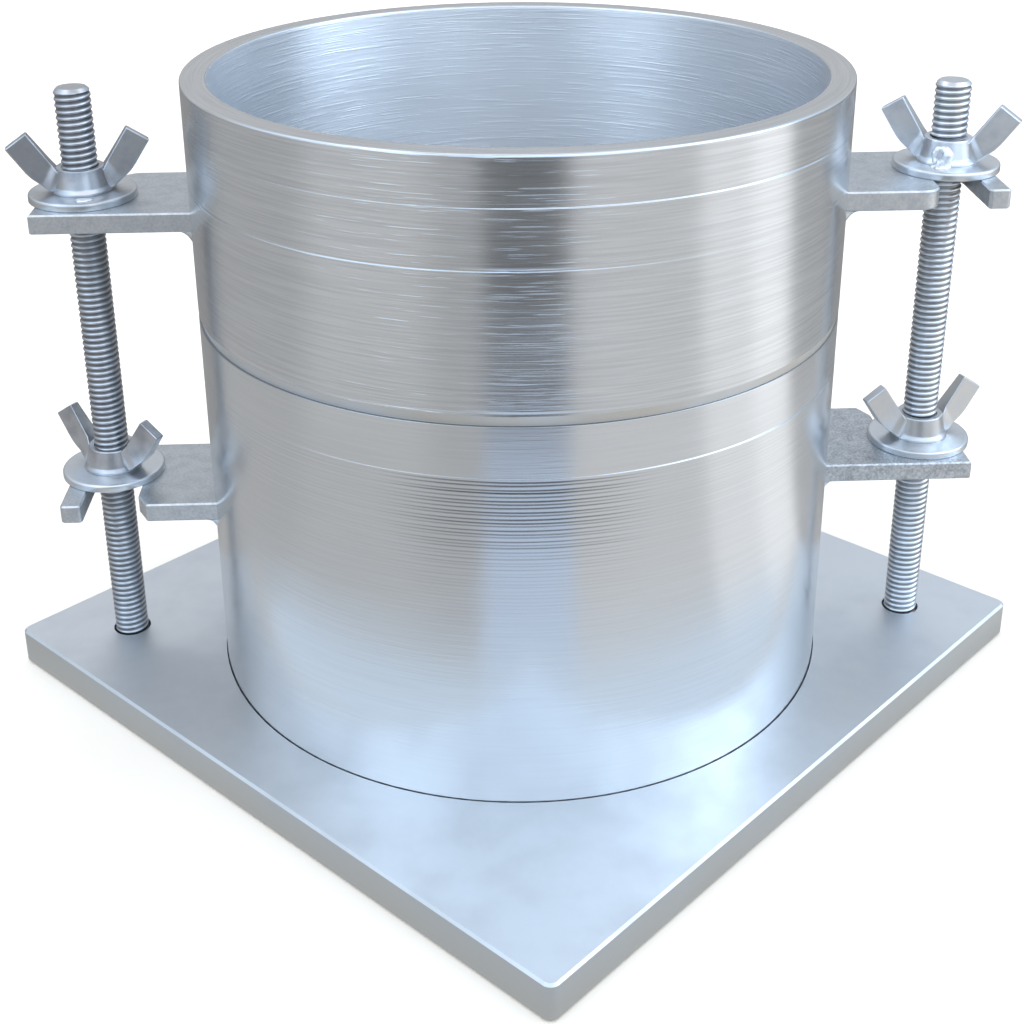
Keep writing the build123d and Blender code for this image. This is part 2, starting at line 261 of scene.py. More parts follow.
class StageSettings(bpy.types.PropertyGroup):
    """Camera, floor and light."""

    eye: FloatVectorProperty(
        name="Eye",
        description="Place of the camera",
        default=(-0.017315, -0.388995, 0.256499),
        size=3,
        subtype="TRANSLATION",
        unit="LENGTH",
        precision=5,
    )
    pan: angle("Pan", 0.0400, "Turn to the right")
    dip: angle("Dip", 0.3988, "Tilt below level")
    roll: angle("Roll", -0.0054, "Roll of the camera")
    lens: FloatProperty(name="Lens", description="Focal length in mm", default=55.757)
    sensor: FloatProperty(name="Sensor", description="Width of the sensor in mm", default=36.0)
    shift: FloatProperty(name="Shift", description="Rise of the lens, in image widths", default=-0.1585)
    world_light: share("World light", 0.55, "How much of the white surroundings lights the object")
    floor: colour("Floor", "#E8E8E6", "Pale floor")
    floor_glow: share("Floor glow", 0.12, "How much the floor glows near the object")
    floor_size: length("Floor size", 8000.0, "Side of the floor")
    floor_drop: length("Floor drop", 0.2, "How far the floor lies below the plate")
    white_start: length("White start", 600.0, "Distance at which the floor starts to turn white")
    white_end: length("White end", 1600.0, "Distance at which the floor is white")
    overhead: colour("Overhead", "#FFFFFF", "Soft light above")
    lamp_size: length("Lamp size", 3200.0, "Width of that light")
    lamp_height: length("Lamp height", 1600.0, "Height of that light")
    lamp_aside: length("Lamp aside", 100.0, "How far to the right it hangs")
    lamp_power: FloatProperty(
        name="Lamp power", description="Power of that light", default=44.0, unit="POWER"
    )
    tent_radius: length("Tent radius", 1200.0, "Distance of the tent's dome from the object's axis")
    tent_wall: length("Tent wall", 240.0, "Height of the neutral foot of the dome")
    tent_skirt: length("Tent skirt", 300.0, "Distance at which the inner cloth on the floor ends")
    tent_blue: length("Tent blue", 130.0, "Distance at which the blue of the inner cloth starts to fade")
    tent_pale: length("Tent pale", 178.0, "Distance at which the blue of the inner cloth has gone")
    tent_hem: length("Tent hem", 10.0, "Width of the grey hem along the plate")
    # Painted shadow: the grey hem stands for the plate's shadow on the floor, seen only in reflections
    hem_shadow: colour("Hem", "#D4D3D0", "Grey cloth along the plate, a painted shadow seen in reflections")
    tent_near: colour("Tent near", "#DAECFF", "Blue cloth on the floor near the object")
    near_level: brightness("Near level", 1.03, "How bright the near cloth is")
    tent_shade: colour("Tent shade", "#D8E8FF", "Tint of the skirt straight in front")
    tent_sky: colour("Tent front", "#D4E9FF", "Blue cloth over the front of the tent")
    sky_level: brightness("Sky level", 1.5, "How bright the front dome is")
    tent_back: colour("Tent back", "#C8C9CB", "Grey cloth at the back of the tent")
    back_low: brightness("Back low", 0.98, "How bright the back cloth is at its foot")
    back_high: brightness("Back high", 1.17, "How bright it is further up")
    back_start: length("Back start", 580.0, "Height at which the back cloth starts to brighten")
    back_end: length("Back end", 750.0, "Height at which it is brightest")
    tent_top: colour("Tent top", "#F4F8FF", "White cloth over the top of the tent")
    top_level: brightness("Top level", 1.9, "How bright the top cloth is")
    zenith_level: brightness("Zenith level", 0.8, "How bright the cloth is straight overhead")


class MouldSettings(bpy.types.PropertyGroup):
    """All settings of the compaction mould."""

    tubes: PointerProperty(name="Tubes", description="Turned tubes", type=TubeSettings)
    rods: PointerProperty(name="Rods", description="Threaded rods", type=RodSettings)
    nuts: PointerProperty(name="Nuts", description="Wing nuts and washers", type=NutSettings)
    welds: PointerProperty(name="Welds", description="Beads and runs", type=WeldSettings)
    finish: PointerProperty(name="Finish", description="Colours of the zinc", type=FinishSettings)
    stage: PointerProperty(name="Stage", description="Camera, floor and light", type=StageSettings)


# Meshes


class Shell(NamedTuple):
    """A grid of points whose columns close. Its rows close too on a ring, or else end in flat caps. The lay
    is where patterns read each point, and the last array darkens the colour from 0 on clean metal to 1 at
    its darkest: painted shade in tool marks, thread roots and lower flanks, and dirt in the joint and on
    crests."""

    points: np.ndarray
    ring: bool
    lay: np.ndarray
    grime: np.ndarray


def clean_shell(points, ring=False):
    """A shell with no grime, whose patterns follow its points."""
    return Shell(points, ring, points, np.zeros(points.shape[:2]))


def shell_faces(rows, columns, ring, first_point):
    """Corner numbers of a shell's quads and caps, and the map place (along, round) of each corner."""
    row, column = np.meshgrid(np.arange(rows if ring else rows - 1), np.arange(columns), indexing="ij")
    steps = [(0, 0), (0, 1), (1, 1), (1, 0)]
    corners = [(row + down) % rows * columns + (column + over) % columns for down, over in steps]
    places = [((row + down) / rows, (column + over) / columns) for down, over in steps]
    faces = (np.stack(corners, axis=-1).reshape(-1, 4) + first_point).tolist()
    along_round = np.stack([np.stack(place, axis=-1) for place in places], axis=2).reshape(-1, 2)
    if ring:
        return faces, along_round
    rim = np.arange(columns)
    faces += [(rim[::-1] + first_point).tolist(), (rim + (rows - 1) * columns + first_point).tolist()]
    caps = np.zeros((2 * columns, 2))
    return faces, np.concatenate([along_round, caps])


def make_piece(name, shells, material, body, nodes=()):
    """Join shells into one closed-surface object on a body, standing for the CAD nodes it names."""
    faces = []
    places = []
    first_point = 0
    for shell in shells:
        rows, columns = shell.points.shape[:2]
        more_faces, more_places = shell_faces(rows, columns, shell.ring, first_point)
        faces += more_faces
        places.append(more_places)
        first_point += rows * columns
    points = np.concatenate([shell.points.reshape(-1, 3) for shell in shells])
    lay = np.concatenate([shell.lay.reshape(-1, 3) for shell in shells])
    grime = np.concatenate([shell.grime.ravel() for shell in shells])
    mesh = bpy.data.meshes.new(name)
    mesh.from_pydata(points.tolist(), [], faces)
    mesh.uv_layers.new(name="along_round").uv.foreach_set("vector", np.concatenate(places).ravel())
    mesh.attributes.new("lay", "FLOAT_VECTOR", "POINT").data.foreach_set("vector", lay.ravel())
    # Painted shade and dirt go on each point as one attribute
    mesh.attributes.new("grime", "FLOAT", "POINT").data.foreach_set("value", grime)
    turned_out = bmesh.new()
    turned_out.from_mesh(mesh)
    bmesh.ops.recalc_face_normals(turned_out, faces=turned_out.faces)
    turned_out.to_mesh(mesh)
    turned_out.free()
    mesh.shade_smooth()
    mesh.set_sharp_from_angle(angle=SHARP_EDGE)
    mesh.materials.append(material)
    piece = bpy.data.objects.new(name, mesh)
    bpy.context.scene.collection.objects.link(piece)
    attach(piece, body)
    if nodes:
        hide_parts(*nodes)
    return piece


def paint(piece, material, chosen):
    """One more material on the faces whose centres, as radius and level, pass a test."""
    mesh = piece.data
    mesh.materials.append(material)
    centres = np.empty(3 * len(mesh.polygons))
    mesh.polygons.foreach_get("center", centres)
    centres = centres.reshape(-1, 3)
    indices = np.empty(len(centres), dtype=np.int32)
    mesh.polygons.foreach_get("material_index", indices)
    indices[chosen(np.hypot(centres[:, 0], centres[:, 1]), centres[:, 2])] = len(mesh.materials) - 1
    mesh.polygons.foreach_set("material_index", indices)


def finish_node(node, material):
    """Give a CAD node that keeps its own shape a material."""
    mesh = frame["nodes"][node].data
    mesh.materials.clear()
    mesh.materials.append(material)


def turns(count):
    """Angles round a full turn, in equal steps."""
    return np.arange(count) / count * FULL_TURN


def distances(path):
    """Distance walked along a path, at each of its points."""
    return np.concatenate([[0.0], np.cumsum(np.linalg.norm(np.diff(path, axis=0), axis=1))])


def evenly(path, count):
    """Points spaced evenly along a path of corner points."""
    walked = distances(path)
    at = np.linspace(0, walked[-1], count)
    return np.stack([np.interp(at, walked, path[:, axis]) for axis in (0, 1)], axis=-1)


def about_axis(radii, angles, levels, centre=(0.0, 0.0)):
    """Points (r cos a, r sin a, z) about a vertical axis through a centre."""
    across = centre[0] + radii * np.cos(angles)
    ahead = centre[1] + radii * np.sin(angles)
    return np.stack(np.broadcast_arrays(across, ahead, levels), axis=-1)


# Points on a rounded corner, and how many rounds from the corner its support points lie
ROUND_POINTS = 6
SUPPORT = 1.6


def rounded(corners, closed=True):
    """Outline through (x, y, round) corners. A corner becomes the curve (1-t)^2 a + 2t(1-t) c + t^2 b between
    the points a and b that lie one round from it on its two sides, with a support point beyond each that
    keeps the flats evenly shaded. A fourth number divides the side that follows a corner into rows."""
    spread = np.linspace(0, 1, ROUND_POINTS)[:, None]
    outline = []
    for index, (x, y, size, *rows) in enumerate(corners):
        corner = np.array((x, y))
        next_x, next_y, next_size = corners[(index + 1) % len(corners)][:3]
        following = np.array((next_x, next_y))
        if not closed and index in (0, len(corners) - 1):
            outline.append(corner[None])
        else:
            before = np.array(corners[index - 1][:2]) - corner
            after = following - corner
            before = before / np.linalg.norm(before) * size
            after = after / np.linalg.norm(after) * size
            curve = corner + (1 - spread) ** 2 * before + spread ** 2 * after
            outline.append(np.concatenate([[corner + SUPPORT * before], curve, [corner + SUPPORT * after]]))
        if rows:
            start = outline[-1][-1]
            run = following - start
            end = following - run / np.linalg.norm(run) * (next_size * SUPPORT)
            outline.append(start + np.linspace(0, 1, rows[0] + 1)[1:-1, None] * (end - start))
    return np.concatenate(outline)


def revolved(outline, columns, centre=(0.0, 0.0), base=0.0, cut=None):
    """Ring about a vertical axis: centre + (r cos a, r sin a), base + z for each outline point (r, z) and
    angle a, less a cut that depends on both and may leave painted shade and dirt. The lay is (x, y, distance
    along the outline)."""
    angles = turns(columns)
    radii = np.repeat(outline[:, :1], columns, axis=1)
    grime = np.zeros(radii.shape)
    if cut is not None:
        removed, grime = cut(outline, angles)
        radii = radii - removed
    points = about_axis(radii, angles, outline[:, 1:] + base, centre)
    lay = points.copy()
    lay[..., 2] = distances(outline)[:, None]
    return Shell(points, True, lay, grime)


# Materials


def add_node(tree, kind, *in_order, named=None, output=None, **settings):
    """Add a node with its settings. Inputs come in the node's order or by name, as values or as sockets to
    link. It returns the named output, or else the first one in use."""
    node = tree.nodes.new(f"ShaderNode{kind}")
    for key, value in settings.items():
        setattr(node, key, value)
    given = list(zip([socket for socket in node.inputs if socket.enabled], in_order))
    given += [(node.inputs[key], value) for key, value in (named or {}).items()]
    for socket, value in given:
        if isinstance(value, bpy.types.NodeSocket):
            tree.links.new(value, socket)
        elif socket.type == "RGBA":
            socket.default_value = (*value, 1.0)
        else:
            socket.default_value = value
    if output:
        return node.outputs[output]
    return next((socket for socket in node.outputs if socket.enabled), None)


def empty_tree(owner):
    """Clear the nodes of a material or world, and return add_node for its tree."""
    owner.use_nodes = True
    owner.node_tree.nodes.clear()
    return partial(add_node, owner.node_tree)


def noise_band(add, vector, sizes, low, high, detail=2.0):
    """Noise with features of the given sizes in mm, stretched so that low becomes 0 and high becomes 1."""
    scale = tuple(1 / (size * MM) for size in sizes)
    placed = add("Mapping", named={"Vector": vector, "Scale": scale})
    noise = add("TexNoise", named={"Vector": placed, "Scale": 1.0, "Detail": detail})
    return add("MapRange", noise, low, high, interpolation_type="SMOOTHSTEP")


class Turning(NamedTuple):
    """Surface that a lathe left: the height of its marks in mm, how much they dull the zinc, its roughness
    and how far lights stretch upright. Where wiped is given, the marks fade between these two x in mm."""

    height: float
    dulling: float
    roughness: float
    stretch: float
    wiped: tuple = ()


# Heights of dashes and rings against streaks of 1, the share of them left where they are wiped away, and how
# much rougher the zinc is where it is cloudy
DASH_HEIGHT = 1.6
RING_HEIGHT = 1.2
WIPED_LEAST = 0.2
CLOUD_ROUGHNESS = 0.05


def turned_zinc(name, zinc, finish, turning):
    """Zinc on lathe-turned steel: tool marks run round the tube, so lights stretch into upright streaks, and
    scratches along them flash as level dashes. Painted shade darkens the bottoms of the tool marks, and dirt
    darkens the joint. The marks are drawn coarser than a finishing cut leaves them, so that they show."""
    material = bpy.data.materials.new(name)
    add = empty_tree(material)
    lay = add("Attribute", output="Vector", attribute_name="lay")
    grime = add("Attribute", output="Fac", attribute_name="grime")
    streaks = noise_band(add, lay, (26, 26, 0.55), 0.3, 0.7, detail=4.0)
    dashes = noise_band(add, lay, (14, 14, 0.5), 0.55, 0.7, detail=1.0)
    rings = noise_band(add, lay, (70, 70, 0.6), 0.56, 0.72, detail=1.0)
    clouds = noise_band(add, lay, (38, 38, 16), 0.35, 0.7)
    height = add("Math", dashes, DASH_HEIGHT, streaks, operation="MULTIPLY_ADD")
    height = add("Math", rings, RING_HEIGHT, height, operation="MULTIPLY_ADD")
    strength = 1.0
    if turning.wiped:
        marked, smooth = turning.wiped
        across = add("SeparateXYZ", lay, output="X")
        strength = add(
            "MapRange", across, marked * MM, smooth * MM, 1.0, WIPED_LEAST, interpolation_type="SMOOTHSTEP"
        )
    bump = add("Bump", named={"Height": height, "Strength": strength, "Distance": turning.height * MM})
    darkened = add("Math", streaks, turning.dulling, operation="MULTIPLY")
    tint = add("Mix", darkened, zinc, finish.dull_zinc, data_type="RGBA")
    # Painted shade in the tool marks and dirt in the joint darken the zinc
    tint = add("Mix", grime, tint, finish.groove_shade_and_joint_dirt, data_type="RGBA")
    rough = add("MapRange", clouds, 0.0, 1.0, turning.roughness, turning.roughness + CLOUD_ROUGHNESS)
    surface = add("BsdfPrincipled", named={
        "Base Color": tint,
        "Metallic": 1.0,
        "Roughness": rough,
        "Anisotropic": turning.stretch,
        "Tangent": add("Tangent", direction_type="UV_MAP", uv_map="along_round"),
        "Normal": bump,
    })
    add("OutputMaterial", surface)
    return material


class Grain(NamedTuple):
    """Surface of a flat metal face: size and height of its grain in mm, the size of its cloudy bloom in mm,
    its roughness, and how much of its colour follows the grain and not the bloom."""

    size: float
    height: float
    bloom: float
    roughness: float
    speckle: float = 0.0


# How much rougher flat zinc is where it has worn and where it is sawn, and the height over which that starts
WORN_ROUGHNESS = 0.1
SAWN_ROUGHNESS = 0.1
SAWN_START = 0.1 * MM


def flat_zinc(name, fresh, worn, grain, edge=None):
    """Zinc on flat steel: no direction to the shine, a cloudy bloom from a fresh to a worn colour, and the
    fine grain of the steel below, drawn coarser than it is so that it shows. Where an edge is given as
    (level, colour), the faces below that level are sawn, so they are duller and rougher."""
    material = bpy.data.materials.new(name)
    add = empty_tree(material)
    place = add("TexCoord", output="Object")
    clouds = noise_band(add, place, (grain.bloom,) * 3, 0.35, 0.7, detail=5.0)
    rubbed = noise_band(add, place, (grain.size,) * 3, 0.25, 0.75, detail=3.0)
    bump = add("Bump", named={"Height": rubbed, "Strength": 1.0, "Distance": grain.height * MM})
    wear = add("Mix", grain.speckle, clouds, rubbed)
    tint = add("Mix", wear, fresh, worn, data_type="RGBA")
    rough = add("MapRange", wear, 0.0, 1.0, grain.roughness, grain.roughness + WORN_ROUGHNESS)
    if edge:
        level, sawn_colour = edge
        height = add("SeparateXYZ", place, output="Z")
        sawn = add("MapRange", height, level - SAWN_START, level, 1.0, 0.0)
        tint = add("Mix", sawn, tint, sawn_colour, data_type="RGBA")
        rough = add("Math", sawn, SAWN_ROUGHNESS, rough, operation="MULTIPLY_ADD")
    surface = add("BsdfPrincipled", named={
        "Base Color": tint, "Metallic": 1.0, "Roughness": rough, "Normal": bump
    })
    add("OutputMaterial", surface)
    return material


# Share of a thread's depth over which its painted shade and dirt gather, how dark the painted shade makes its
# roots and how dirty its worn places are, and the roughness of clean crests and of shaded roots
SHADE_AND_DIRT_DEPTHS = (0.1, 0.75)
ROOT_SHADE = 0.85
WORN_GRIME = 0.15
THREAD_ROUGHNESS = (0.28, 0.45)


def thread_zinc(name, crest_colour, shade_and_dirt_colour):
    """Zinc on a rolled thread: burnished crests shine under a little dirt, and painted shade darkens the
    roots and lower flanks.
    """
    material = bpy.data.materials.new(name)
    add = empty_tree(material)
    depth = add("Attribute", output="Fac", attribute_name="grime")
    place = add("TexCoord", output="Object")
    wear = noise_band(add, place, (5, 5, 7), 0.3, 0.7, detail=3.0)
    # Painted shade in the roots and on the lower flanks, with dirt on the crests and worn spots, darkens and
    # roughens the zinc
    grime = add("MapRange", depth, *SHADE_AND_DIRT_DEPTHS, 0.0, ROOT_SHADE)
    grime = add("Math", wear, WORN_GRIME, grime, operation="MULTIPLY_ADD")
    dirty = add("Mix", grime, crest_colour, shade_and_dirt_colour, data_type="RGBA")
    rough = add("MapRange", grime, 0.0, 1.0, *THREAD_ROUGHNESS)
    surface = add("BsdfPrincipled", named={"Base Color": dirty, "Metallic": 1.0, "Roughness": rough})
    add("OutputMaterial", surface)
    return material


# Surfaces of the pieces


class Sweep(NamedTuple):
    """Stretch of a tube's turn that shows a cut, in degrees: its middle from the front towards the right, how
    far from there the cut is whole and how far it is down to its least share, and that share."""

    middle: float
    full: float
    gone: float
    least: float


def fading(angles, sweep):
    """1 near the middle of a sweep, then smoothly down to its least share."""
    middle = FRONT + math.radians(sweep.middle)
    full = math.radians(sweep.full)
    gone = math.radians(sweep.gone)
    away = np.abs((angles - middle + math.pi) % FULL_TURN - math.pi)
    rest = np.clip((gone - away) / (gone - full), 0, 1)
    return sweep.least + (1 - sweep.least) * rest ** 2 * (3 - 2 * rest)


class Grooves(NamedTuple):
    """Turned grooves on a wall: their levels, depths and half width, how far they waver, how much painted
    shade darkens their bottoms and where they show."""

    levels: np.ndarray
    depths: np.ndarray
    width: float
    waver: float
    grime: float
    shown: Sweep


def turned_cut(sizes, skin, band_level, banded, grooves, joint):
    """Cut of a tube's outer wall, and the darkening it leaves: painted shade in the grooves, as strong as
    they are deep, and dirt in the joint. Below the band: the sum over grooves of
    depth (0.85 + 0.15 sin(3a + phase)) exp(-((z - level - waver sin(2a + 1.7 phase)) / width)^2), with a
    phase of 2.4 more for each groove. Above its step: less than the band's full cut outside the banded
    sweep, where the tube ran out of true."""
    phases = np.arange(len(grooves.levels)) * 2.4

    def cut(outline, angles):
        radii, levels = outline.T
        on_wall = np.abs(radii - skin) < ON_SKIN
        turn = angles[None, :, None]
        strength = grooves.depths * (0.85 + 0.15 * np.sin(3 * turn + phases))
        centres = grooves.levels + grooves.waver * np.sin(2 * turn + 1.7 * phases)
        away = (levels[:, None, None] - centres) / grooves.width
        sunk = (strength * np.exp(-away ** 2)).sum(axis=2) * on_wall[:, None] * fading(angles, grooves.shown)
        share_in = np.clip((skin - radii) / sizes.band_cut, 0, 1)
        on_band = (levels > band_level) & (radii > skin - OUTER_WALL)
        missed = (share_in * on_band)[:, None] * sizes.band_cut * (1 - fading(angles, banded))
        in_joint = sizes.joint_grime * (np.abs(levels - joint) < sizes.edge_round / 2)
        grime = np.maximum(grooves.grime * np.clip(sunk / sizes.groove_depth, 0, 1), in_joint[:, None])
        return sunk - missed, grime

    return cut


# Tool marks on the mould: how far below the band the first one lies and how far they stray, in spacings, how
# strong and faint marks share the depth, and the least of it that a mark has
FIRST_MARK = 0.8
MARK_STRAY = 0.06
STRONG_SHARE = 0.7
FAINT_SHARE = 0.3
LEAST_MARK = 0.75


def mould_surface(sizes):
    """Mould tube as a ring, with a band below the joint, a spigot above it and tool marks below the band that
    fade by exp(-(step / reach)^4) and 1 - step / end."""
    low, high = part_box("mould_cylinder")
    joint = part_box("collar_cylinder")[0].z
    skin = high.x
    band = skin - sizes.band_cut
    band_level = joint - sizes.mould_band
    spigot = BORE_RADIUS + sizes.spigot_wall
    small = sizes.edge_round
    outline = rounded([
        (BORE_RADIUS, low.z, sizes.end_round),
        (skin, low.z, sizes.end_round, sizes.foot_rows),
        (skin, band_level - sizes.groove_end, small, sizes.groove_rows),
        (skin, band_level, small),
        (band, band_level + sizes.ledge_rise, small, sizes.band_rows),
        (band, joint, small),
        (spigot, joint, small),
        (spigot, high.z, sizes.spigot_lead),
        (BORE_RADIUS, high.z, sizes.end_round),
    ])
    chance = np.random.default_rng(4)
    count = int(sizes.groove_end / sizes.groove_spacing)
    stray = chance.uniform(-MARK_STRAY, MARK_STRAY, count)
    steps = sizes.groove_spacing * (np.arange(count) + FIRST_MARK + stray)
    strong = np.exp(-(steps / sizes.groove_reach) ** 4)
    fade = STRONG_SHARE * strong + FAINT_SHARE * (1 - steps / sizes.groove_end)
    depths = sizes.groove_depth * fade * chance.uniform(LEAST_MARK, 1.0, count)
    shown = Sweep(middle=-3, full=8, gone=24, least=sizes.groove_least)
    # The mould's tool marks get painted shade in their bottoms; the collar's scored rings get none
    grooves = Grooves(band_level - steps, depths, sizes.groove_width, sizes.groove_waver, 1.0, shown)
    banded = Sweep(middle=42, full=18, gone=36, least=sizes.band_least)
    cut = turned_cut(sizes, skin, band_level, banded, grooves, joint)
    return revolved(outline, sizes.columns, cut=cut)


# Rings scored into the collar: level as a share of its wall above the bevel, and depth in score depths
SCORED_RINGS = np.array([
    (0.16, 0.3), (0.3, 0.35), (0.52, 0.4), (0.545, 0.25), (0.71, 3.6), (0.725, 0.6), (0.008, 2.2)
])


def collar_surface(sizes):
    """Collar tube as a ring: a socket and bevel below, a band and rounded rim above, and scored rings."""
    low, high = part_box("collar_cylinder")
    skin = high.x
    band = skin - sizes.band_cut
    band_level = high.z - sizes.collar_band
    bevel_top = low.z + sizes.bevel_height
    socket = BORE_RADIUS + sizes.spigot_wall + sizes.spigot_clearance
    socket_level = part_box("mould_cylinder")[1].z + sizes.socket_headroom
    small = sizes.edge_round
    outline = rounded([
        (socket, low.z, small),
        (skin - sizes.bevel_cut, low.z, small),
        (skin, bevel_top, small, sizes.score_rows),
        (skin, band_level, small),
        (band, band_level + sizes.ledge_rise, small, sizes.band_rows),
        (band, high.z, sizes.rim_round),
        (BORE_RADIUS, high.z, sizes.rim_round),
        (BORE_RADIUS, socket_level, small),
        (socket, socket_level, small),
    ])
    shares, strengths = SCORED_RINGS.T
    levels = bevel_top + (band_level - bevel_top) * shares
    shown = Sweep(middle=-28, full=20, gone=75, least=sizes.score_least)
    grooves = Grooves(levels, sizes.score_depth * strengths, sizes.score_width, sizes.score_waver, 0.0, shown)
    banded = Sweep(middle=24, full=24, gone=38, least=sizes.band_least)
    cut = turned_cut(sizes, skin, band_level, banded, grooves, low.z)
    return revolved(outline, sizes.columns, cut=cut)


def rod_surface(sizes, low, high):
    """Threaded rod: radius = crest - depth s, where s rises evenly from 0 on the crest to 1 in the root with
    phase = z / pitch - a / 2 pi, and no more than the chamfer leaves at the ends. The darkening is the share
    of the thread's depth, squared on the upper flanks and its root on the lower ones, so that it paints shade
    into the roots and onto the lower flanks, and never less than the dirt on the crests, which fades out down
    the flanks."""
    crest = (high.x - low.x) / 2
    middle = (high.x + low.x) / 2
    height = high.z - low.z
    levels = np.linspace(0, height, int(height / THREAD_PITCH * sizes.rows))[:, None]
    angles = turns(sizes.columns)[None, :]
    phase = (levels / THREAD_PITCH - angles / FULL_TURN) % 1.0
    from_crest = np.abs(2 * phase - 1)
    flank = 1 - sizes.crest_share - sizes.root_share
    sunk = np.clip((from_crest - sizes.crest_share) / flank, 0, 1)
    from_end = np.minimum(levels, height - levels)
    radii = np.minimum(crest - sizes.thread_depth * sunk, crest - sizes.end_break + from_end)
    points = about_axis(radii, angles, low.z + levels, (middle, 0.0))
    threaded = from_end > sizes.end_break
    depth = np.clip((crest - radii) / sizes.thread_depth, 0, 1) * threaded
    # Painted shade: stronger on the lower flanks than on the upper ones, and full in the roots
    grime = np.where(phase > 0.5, depth ** 2, depth ** 0.5)
    on_crest = sizes.crest_grime * np.clip(1 - depth / sizes.crest_fade, 0, 1) * threaded
    return Shell(points, False, points, np.maximum(grime, on_crest))


# Sections along a wing, those that round its tip and the points that round each of its four edges, then how
# many rounds before the tip a support section lies, and the share of the tip's inset that its edges lose
WING_STATIONS = 40
TIP_STATIONS = 6
EDGE_POINTS = 5
TIP_SUPPORT = 1.5
EDGE_LOSS = 0.8


def wing_surface(sizes, turn, centre, base):
    """A wing: a rounded rectangle between a lower and an upper edge line, carried from inside the boss to the
    tip. Its thickness falls from root to tip and grows in a straight bevel at the boss, and the last sections
    shrink by 1 - cos while they advance by sin, which rounds the tip."""
    rise = np.array((math.cos(sizes.wing_rise), math.sin(sizes.wing_rise)))
    across = np.array((rise[1], -rise[0])) * sizes.wing_width
    inner_tip = np.array((sizes.wing_reach - across[0], sizes.wing_top))
    outer_tip = inner_tip + across
    slope = rise[1] / rise[0]
    crook = (inner_tip[0] - (sizes.wing_top - sizes.boss_height) / slope, sizes.boss_height)
    knee = (outer_tip[0] - (outer_tip[1] - sizes.wing_knee) / slope, sizes.wing_knee)
    inside = sizes.boss_top - sizes.wing_bite
    lower = evenly(rounded([
        (inside, sizes.wing_start, 0),
        (sizes.boss_base, sizes.boss_foot, sizes.heel_round),
        (*knee, sizes.knee_round),
        (*outer_tip, 0),
    ], closed=False), WING_STATIONS)
    upper = evenly(rounded([
        (inside - sizes.wing_lean, sizes.boss_height - sizes.wing_sink, 0),
        (*crook, sizes.crook_round),
        (*inner_tip, 0),
    ], closed=False), WING_STATIONS)
    size = sizes.wing_round
    tip_steps = np.linspace(0, QUARTER_TURN, TIP_STATIONS)
    inset = size * (1 - np.cos(tip_steps))
    middles = (lower + upper) / 2
    past_flare = middles[:, 0] - sizes.boss_top - sizes.flare_start
    flare = sizes.wing_flare * np.clip(1 - past_flare / sizes.flare_length, 0, 1)
    thick = sizes.wing_root + (sizes.wing_tip - sizes.wing_root) * np.linspace(0, 1, WING_STATIONS)
    half_thick = thick / 2 + flare
    spans = upper - lower
    half_widths = np.linalg.norm(spans, axis=1) / 2
    spans = spans / (2 * half_widths[:, None])
    middles = np.concatenate([middles, middles[-1] - rise * size + rise * size * np.sin(tip_steps)[:, None]])
    middles[WING_STATIONS - 1] -= rise * size * TIP_SUPPORT
    spans = np.concatenate([spans, np.repeat(spans[-1:], TIP_STATIONS, axis=0)])
    half_widths = np.concatenate([half_widths, half_widths[-1] - inset])
    half_thick = np.concatenate([half_thick, half_thick[-1] - inset])
    beyond = SUPPORT - 1
    bend = np.exp(1j * np.linspace(0, QUARTER_TURN, EDGE_POINTS))
    arc = np.concatenate([[1 - 1j * beyond], bend, [1j - beyond]])
    swing = np.concatenate([arc * 1j ** step for step in range(4)])
    wide_sign = np.repeat([1, -1, -1, 1], len(arc))
    deep_sign = np.repeat([1, 1, -1, -1], len(arc))
    edge = np.full(len(half_widths), size)
    edge[WING_STATIONS:] = size - EDGE_LOSS * inset
    wide = wide_sign * (half_widths - edge)[:, None] + edge[:, None] * swing.real
    deep = deep_sign * (half_thick - edge)[:, None] + edge[:, None] * swing.imag
    out = middles[:, :1] + spans[:, :1] * wide
    up = middles[:, 1:] + spans[:, 1:] * wide
    return clean_shell(np.stack([
        centre[0] + out * math.cos(turn) - deep * math.sin(turn),
        centre[1] + out * math.sin(turn) + deep * math.cos(turn),
        base + up,
    ], axis=-1))


def boss_surface(sizes, centre, base):
    """Boss of a wing nut as a ring: a short straight foot, a flare up to the neck, a cone and a flat top."""
    outline = rounded([
        (sizes.bore, 0.0, sizes.boss_round),
        (sizes.boss_base, 0.0, sizes.foot_round),
        (sizes.boss_base, sizes.boss_foot, sizes.foot_round),
        (sizes.boss_neck, sizes.neck_level, sizes.boss_round),
        (sizes.boss_top, sizes.boss_height, sizes.top_round),
        (sizes.bore, sizes.boss_height, sizes.boss_round),
    ])
    return revolved(outline, sizes.columns, centre, base)


def washer_surface(sizes, reach, height, centre, base):
    """Washer as a ring: a flat section whose upper outer edge is rounded by stamping."""
    outline = rounded([
        (sizes.washer_bore, 0.0, sizes.washer_burr),
        (reach, 0.0, sizes.washer_burr),
        (reach, height, sizes.washer_round),
        (sizes.washer_bore, height, sizes.washer_burr),
    ])
    return revolved(outline, sizes.columns, centre, base)


# How far from a wing's furthest point its other end points lie
WING_END = 1.5 * MM


def wing_turn(node, centre):
    """Angle of a wing nut's wings at rest, from the points of the CAD node furthest from its axis."""
    mesh = frame["nodes"][node].data
    flat = np.empty(3 * len(mesh.vertices), dtype=np.float32)
    mesh.vertices.foreach_get("co", flat)
    points = flat.reshape(-1, 3)[:, :2] - np.array(centre)
    reach = np.linalg.norm(points, axis=1)
    far = points[reach > reach.max() - WING_END]
    far = far * np.sign(far[:, :1])
    return math.atan2(far[:, 1].mean(), far[:, 0].mean())


